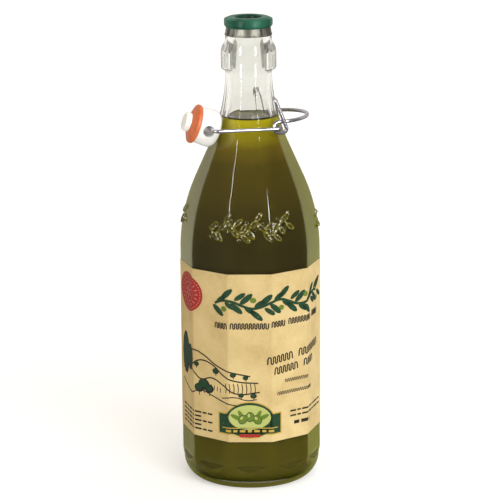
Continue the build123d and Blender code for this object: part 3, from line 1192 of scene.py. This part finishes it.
def platedWire():
    material, shader, place = mottled("platedWire", closure["steels"], 0.35, 45, 3, Metallic=0.85)
    dull = mapValue(material, noiseValue(material, place, 200, 3), 0.3, 0.7, 0.12, 0.3)
    join(material, dull, shader.inputs["Roughness"])
    addBump(material, shader, noiseValue(material, place, 300, 2), 0.015 * mm)
    return material


stopper = makeStopper()
wear(stopper, stopperPlastic())
finishPiece(stopper, "swing_stopper", "white_stopper", "stopper")
gasket = makeGasket()
wear(gasket, gasketRubber())
finishPiece(gasket, "swing_stopper", "orange_rubber", "gasket")
wire = platedWire()
for node in ("bail", "lever"):
    wear(frame["nodes"][node], wire)
print("closure:", len(stopper.data.polygons) + len(gasket.data.polygons), "faces")

# the paper label, wrapped round the facets, its seam on the back facet
paperLabel = {
    "seamAlong": 3,                         # the seam's middle, off the back facet's middle
    "seamWidth": 9,
    "seamThickness": 0.22,
    "edge": 0.05,                           # the cut edges are eased by this
    "kraftDark": (0.485, 0.35, 0.15),
    "kraft": (0.575, 0.435, 0.2),
    "kraftLight": (0.65, 0.51, 0.25),
    "fibre": (0.36, 0.24, 0.1),
}


def makeLabel():
    spec = paperLabel
    outer, inner, edge = labelHigh.y, labelHigh.y - bottleGlass["paper"], spec["edge"]
    foot, top = labelLow.z, labelHigh.z
    tall = top - foot
    label = facetRing("paperLabel", outer, foot + edge)
    asRadius = pickedRing(label)[0] / outer
    rows = [(outer, foot + 0.1), (outer, foot + 0.3)]
    rows += [(outer, foot + tall * share / 8) for share in range(1, 8)]
    rows += [(outer, top - 0.3), (outer, top - edge), (outer - edge, top)]
    rows += [(inner, top), (inner, foot), (outer - edge, foot), (outer, foot + edge)]
    for apothem, height in rows:
        growRing(label, apothem * asRadius, height)
    bpy.ops.mesh.select_mode(type="VERT")
    closePiece()
    cleanMesh(label, 25)
    seamSize = Vector((spec["seamWidth"], spec["seamThickness"] * 2, tall)) * mm
    bpy.ops.mesh.primitive_cube_add(size=1, location=Vector((spec["seamAlong"], outer, (foot + top) / 2)) * mm,
                                    scale=seamSize)
    seam = nameLast("seam")
    applyModifier(seam, "BEVEL", width=0.08 * mm, segments=2)
    cleanMesh(seam, 30)
    return joinPieces([label, seam], "paperLabel")


def kraftPaper():
    spec = paperLabel
    material, shader = startMaterial("kraftPaper", Roughness=0.82)
    place = addNode(material, "TexCoord").outputs["Object"]
    blotch = noiseValue(material, place, 55, 4, 0.6)
    shades = [(0.3, spec["kraftDark"]), (0.5, spec["kraft"]), (0.7, spec["kraftLight"])]
    tone = rampColour(material, blotch, shades)
    fine = noiseValue(material, place, 900, 3)
    tone = mixColour(material, mapValue(material, fine, 0.35, 0.65, 0, 0.35), tone, spec["kraftLight"])
    long = noiseValue(material, objectPlace(material, (1, 1, 7)), 260, 2)
    fibre = mapValue(material, long, 0.66, 0.74, 0, 0.5)
    join(material, mixColour(material, fibre, tone, spec["fibre"]), shader.inputs["Base Color"])
    shader.inputs["Specular IOR Level"].default_value = 0.2
    addBump(material, shader, fine, 0.05 * mm)
    return material


label = makeLabel()
wear(label, kraftPaper())
finishPiece(label, "filled_bottle", "label_paper", "label")
print("label:", len(label.data.polygons), "faces")

# the print: fields of colour and simple shapes in a few inks. Places are millimetres to the right of the
# front facet's middle, and millimetres above the foot.
labelPrint = {
    "lift": 0.05,
    "thickness": 0.03,
    "inks": {
        "greenInk": (0.012, 0.055, 0.022),
        "leafInk": (0.12, 0.19, 0.02),
        "blackInk": (0.022, 0.018, 0.013),
        "redInk": (0.36, 0.018, 0.016),
        "roseInk": (0.52, 0.16, 0.11),
        "goldInk": (0.48, 0.32, 0.05),
        "limeInk": (0.42, 0.46, 0.14),
    },
    "seal": (-50.3, 126.4, 1.31, 25.2),     # along, height, how much wider than tall, size
    "plaque": (-0.5, 46.5),
    # pen lines of the hills: width, points
    "hills": [
        (0.95, [(-64, 87), (-58, 83), (-50, 87.5), (-42, 90), (-33, 87.5), (-24, 82.6), (-12, 79), (0, 76.5)]),
        (0.95, [(-44, 80), (-36, 84), (-27, 82.5), (-17, 76), (-8, 73), (5, 72)]),
        (0.95, [(-63, 73), (-52, 77.5), (-43, 76), (-36, 71.5), (-27, 73.5), (-18, 70), (-9, 65), (6, 66)]),
        (0.8, [(-63, 66), (-54, 62.5), (-45, 61), (-36, 64), (-26, 61.5), (-17, 58.8), (-8, 57)]),
        (0.7, [(-19, 61.5), (-10, 62.6), (-2, 60.6), (4, 61.2)]),
    ],
    "cypresses": [(-57.6, 84.3, 29, 14.5), (-48.3, 83.5, 18, 10.5)],        # along, height, tall, wide
    "oliveTrees": [                         # along, height, size
        (-33.5, 68.2, 7.5), (-29.3, 66, 6), (-37.4, 65.4, 6), (-24, 78.5, 4), (-11, 77.4, 3.2),
        (-3, 75.6, 3), (-39.5, 81, 3.4), (2, 63.6, 3.4), (-6, 64, 3),
    ],
    # waving lines: height, rise from span to span, slope, tall, pitch, width, spans
    "ripples": [
        (109.2, 0.03, 0, 3.6, 2.3, 0.95, [(-24, -15), (-12.5, 12), (14, 24), (27, 47), (50, 60)]),
        (86.5, 0.1, 0.09, 4.6, 3.1, 1.05, [(11, 30), (35, 60)]),
        (79.4, 0.1, 0.08, 4.4, 3.1, 1.05, [(16, 34), (39, 51)]),
        (72, 0, 0, 2, 1.7, 0.5, [(24, 43)]),
        (64.4, 0, 0, 2, 1.7, 0.5, [(18, 48)]),
    ],
    # rows of bars: start, the rows' ends, height, drop from row to row, tall, lengths in turn, gap
    "barRows": [
        (28, (66, 66), 51, 3.2, 1.1, (4.6, 2.8, 6.2), 1),
        (31, (45,), 43, 0, 2.2, (4.2, 6), 1.5),
        (-63, (-27, -36, -27, -36, -27), 49, 2.8, 1.15, (5.4, 3.2, 6.6, 2.6), 1),
    ],
}
facetSide = 2 * labelHigh.y * tan(pi / bottleGlass["facets"])
inked = {ink: [] for ink in labelPrint["inks"]}


def layInk(ink, layer):
    # the flat piece just made is added to its ink, lifted by its layer
    piece = bpy.context.object
    piece.location.y = -labelPrint["lift"] * (1 + layer) * mm
    activate(piece)
    bpy.ops.object.transform_apply()
    inked[ink].append(piece)


def placeField(ink, name, along, height, width, tall, turn, layer):
    # the flat piece of size 1 just added gets its size and place
    piece = nameLast(name)
    piece.scale = (width * mm, 1, tall * mm)
    piece.rotation_euler.y = -radians(turn)
    piece.location = (along * mm, 0, height * mm)
    layInk(ink, layer)


def bar(ink, along, height, width, tall, turn=0, layer=0):
    bpy.ops.mesh.primitive_plane_add(size=1, rotation=(radians(90), 0, 0))
    placeField(ink, "bar", along, height, width, tall, turn, layer)


def oval(ink, along, height, width, tall, turn=0, layer=0, corners=20):
    bpy.ops.mesh.primitive_circle_add(vertices=corners, radius=0.5, fill_type="NGON",
                                      rotation=(radians(90), 0, 0))
    placeField(ink, "oval", along, height, width, tall, turn, layer)


def stroke(ink, points, width, layer=0, closed=False):
    # a smooth line through the points, flattened
    line = bpy.data.curves.new("stroke", "CURVE")
    line.dimensions = "3D"
    line.bevel_depth = width / 2 * mm
    line.bevel_resolution = 1
    line.resolution_u = 5
    line.use_fill_caps = True
    spline = line.splines.new("BEZIER")
    spline.bezier_points.add(len(points) - 1)
    spline.use_cyclic_u = closed
    for knot, (along, height) in zip(spline.bezier_points, points):
        knot.co = (along * mm, 0, height * mm)
        knot.handle_left_type = knot.handle_right_type = "AUTO"
    piece = bpy.data.objects.new("stroke", line)
    bpy.context.scene.collection.objects.link(piece)
    activate(piece)
    bpy.ops.object.convert(target="MESH")
    piece = bpy.context.object
    piece.scale.y = 0.1 / width
    layInk(ink, layer)


def barRow(ink, start, end, height, tall, lengths, gap):
    # a row of bars from start to end, their lengths taken in turn
    place, index = start, 0
    while place < end - 0.5:
        width = min(lengths[index % len(lengths)], end - place)
        bar(ink, place + width / 2, height, width, tall)
        place += width + gap
        index += 1


def ripple(ink, start, end, height, tall, pitch, width, slope):
    # an even waving line, where a line of writing would be
    count = round((end - start) / pitch * 2)
    points = []
    for step in range(count + 1):
        along = start + (end - start) * step / count
        crest = 1 if step % 2 else -1
        points.append((along, height + slope * (along - start) + crest * tall / 2))
    stroke(ink, points, width)


def leaf(ink, along, height, length, width, turn, layer=0):
    oval(ink, along, height, length, width, turn, layer, corners=10)


def printBranch():
    # a long olive branch across the top, where a heading would be
    stem = [(-24 + 83 * step / 13, 123.6 + 2.6 * sin(step * 1.15)) for step in range(14)]
    stroke("greenInk", stem, 1.9)
    for index, (along, height) in enumerate(stem):
        above = 1 if index % 2 else -1
        leaf("greenInk", along + 2.6, height + above * 4.4, 10.5, 3.9, 40 * above)
        leaf("greenInk", along + 5, height - above * 3.2, 8.5, 3.3, -32 * above)
        if index % 3 == 1:
            oval("leafInk", along + 0.6, height - above * 5.4, 4.2, 3.5)
    oval("redInk", 61, 131.5, 2, 2)


def printSeal():
    # a plain round seal, drawn wide because it lies on a facet that turns away; rings of dots, bars and leaves
    middle, height, wide, size = labelPrint["seal"]

    def roundSeal(reach, count, first=0):
        for step in range(count):
            turn = first + 360 * step / count
            yield middle + reach * wide * cos(radians(turn)), height + reach * sin(radians(turn)), turn

    oval("redInk", middle, height, size * wide, size, corners=48)
    for along, rise, turn in roundSeal(11.1, 40):
        oval("roseInk", along, rise, 0.9 * wide, 0.9, layer=1, corners=8)
    stroke("roseInk", [(along, rise) for along, rise, turn in roundSeal(6.2, 12)], 0.5, layer=1, closed=True)
    for along, rise, turn in roundSeal(8.7, 20):
        bar("roseInk", along, rise, 0.8, 2.2, turn - 90, layer=1)
    for along, rise, turn in roundSeal(2.6, 6, 30):
        leaf("roseInk", along, rise, 3.8, 1.3, turn, layer=1)


def printTree(along, height, size):
    # a round olive tree on a short trunk
    stroke("blackInk", [(along, height), (along + 0.3, height - size * 0.8)], 0.6)
    oval("blackInk", along, height, size * 1.25, size, corners=12)
    oval("greenInk", along - 0.06 * size, height + 0.06 * size, size * 0.95, size * 0.72, layer=1, corners=12)


def printLandscape():
    # low hills with a terrace wall, two cypresses and olive trees, in pen lines
    for width, points in labelPrint["hills"]:
        stroke("blackInk", points, width)
    for post in range(8):
        along = -16 + 2.7 * post
        stroke("blackInk", [(along, 65.4 - 0.05 * post), (along + 0.3, 68.4), (along - 0.2, 71.6)], 0.6)
    for post in range(5):
        along = -30 + 2.4 * post
        stroke("blackInk", [(along, 66.5 - 0.4 * post), (along + 0.2, 69.5 - 0.4 * post)], 0.55)
    for along, height, tall, wide in labelPrint["cypresses"]:
        leaf("blackInk", along, height, tall, wide, 90)
        leaf("greenInk", along - 0.3, height + 0.5, tall * 0.88, wide * 0.8, 90, layer=1)
    for along, height, size in labelPrint["oliveTrees"]:
        printTree(along, height, size)


def printLines():
    # waving lines and bars where lines of writing would be
    for height, rise, slope, tall, pitch, width, spans in labelPrint["ripples"]:
        for start, end in spans:
            foot = height + rise * (start - spans[0][0])
            ripple("blackInk", start, end, foot, tall, pitch, width, slope)
    for start, ends, height, drop, tall, lengths, gap in labelPrint["barRows"]:
        for row, end in enumerate(ends):
            barRow("blackInk", start, end, height - drop * row, tall, lengths, gap)


def printBadge():
    # a plaque with olives and leaves
    along, height = labelPrint["plaque"]
    bar("goldInk", along, height - 1.5, 43, 14.4)
    oval("goldInk", along, height + 1, 33, 24.6, corners=40)
    bar("greenInk", along, height - 1.5, 41.4, 12.8, layer=1)
    oval("greenInk", along, height + 1, 31.6, 23.2, corners=40, layer=1)
    oval("limeInk", along, height + 2.9, 27, 16.4, corners=40, layer=2)
    bar("goldInk", along, height - 4.2, 37, 0.6, layer=2)
    for side, turn in ((-1, 152), (-0.62, 118), (0.62, 62), (1, 28)):
        leaf("leafInk", along + side * 8.2, height + 4.8 - abs(side) * 2, 9.4, 2.9, turn, layer=3)
    for place, rise in ((-4.4, 1.6), (0.2, 3.2), (4.8, 1.4)):
        oval("greenInk", along + place, height + rise, 5.6, 6.8, 8 * place, layer=3)
        oval("leafInk", along + place, height + rise, 4.7, 5.9, 8 * place, layer=4)
        oval("limeInk", along + place - 0.8, height + rise + 1, 1.6, 2.4, 8 * place, layer=5, corners=12)
    for place in range(-3, 4):
        bar("goldInk", along + place * 4.6, height - 6.2, 2.6 + (place % 2), 1.5, layer=2)
    bar("redInk", along, height - 9.3, 13, 2, layer=2)


def wrapOnLabel(piece):
    # the flat print is folded round the facets: X runs along the paper, -Y goes out of it
    corner, rounding = pi / bottleGlass["facets"], bottleGlass["cornerRound"]
    ease = rounding * tan(corner)
    openPiece(piece)
    for fold in range(-3, 3):
        for reach in (-ease, 0, ease):
            bpy.ops.mesh.select_all(action="SELECT")
            along = (fold + 0.5) * facetSide + reach
            bpy.ops.mesh.bisect(plane_co=(along * mm, 0, 0), plane_no=(1, 0, 0))
    closePiece()
    for vertex in piece.data.vertices:
        along, out, height = vertex.co / mm
        facet = round(along / facetSide)
        shift = along - facet * facetSide
        turn = 2 * corner * facet - pi / 2
        outward, sideways = Vector((cos(turn), sin(turn), 0)), Vector((-sin(turn), cos(turn), 0))
        place = outward * (labelHigh.y - out) + sideways * shift
        fromFold = facetSide / 2 - abs(shift)
        if fromFold < ease:
            dip = rounding * (1 / cos(corner) - 1) * (1 - fromFold / ease)
            place -= place.normalized() * dip
        vertex.co = Vector((place.x, place.y, height)) * mm


def makeInk(name, colour):
    material, shader = startMaterial(name, Roughness=0.7)
    place = addNode(material, "TexCoord").outputs["Object"]
    patchy = noiseValue(material, place, 500, 4, 0.65)
    paper = [0.6 * channel + 0.4 * under for channel, under in zip(colour, paperLabel["kraft"])]
    tone = rampColour(material, patchy, [(0.35, colour), (0.62, colour), (0.8, paper)])
    join(material, tone, shader.inputs["Base Color"])
    shader.inputs["Specular IOR Level"].default_value = 0.25
    addBump(material, shader, noiseValue(material, place, 900, 2), 0.03 * mm)
    return material


printBranch()
printSeal()
printLandscape()
printLines()
printBadge()
for name, colour in labelPrint["inks"].items():
    print(name + ":", len(inked[name]), "shapes")
    field = joinPieces(inked[name], name)
    applyModifier(field, "SOLIDIFY", thickness=labelPrint["thickness"] * mm, offset=0)
    cleanMesh(field, 30)
    wrapOnLabel(field)
    wear(field, makeInk(name, colour))
    finishPiece(field, "filled_bottle", "label_paper", "label")
finishPiece(bottle, "filled_bottle", "clear_glass", "bottle")
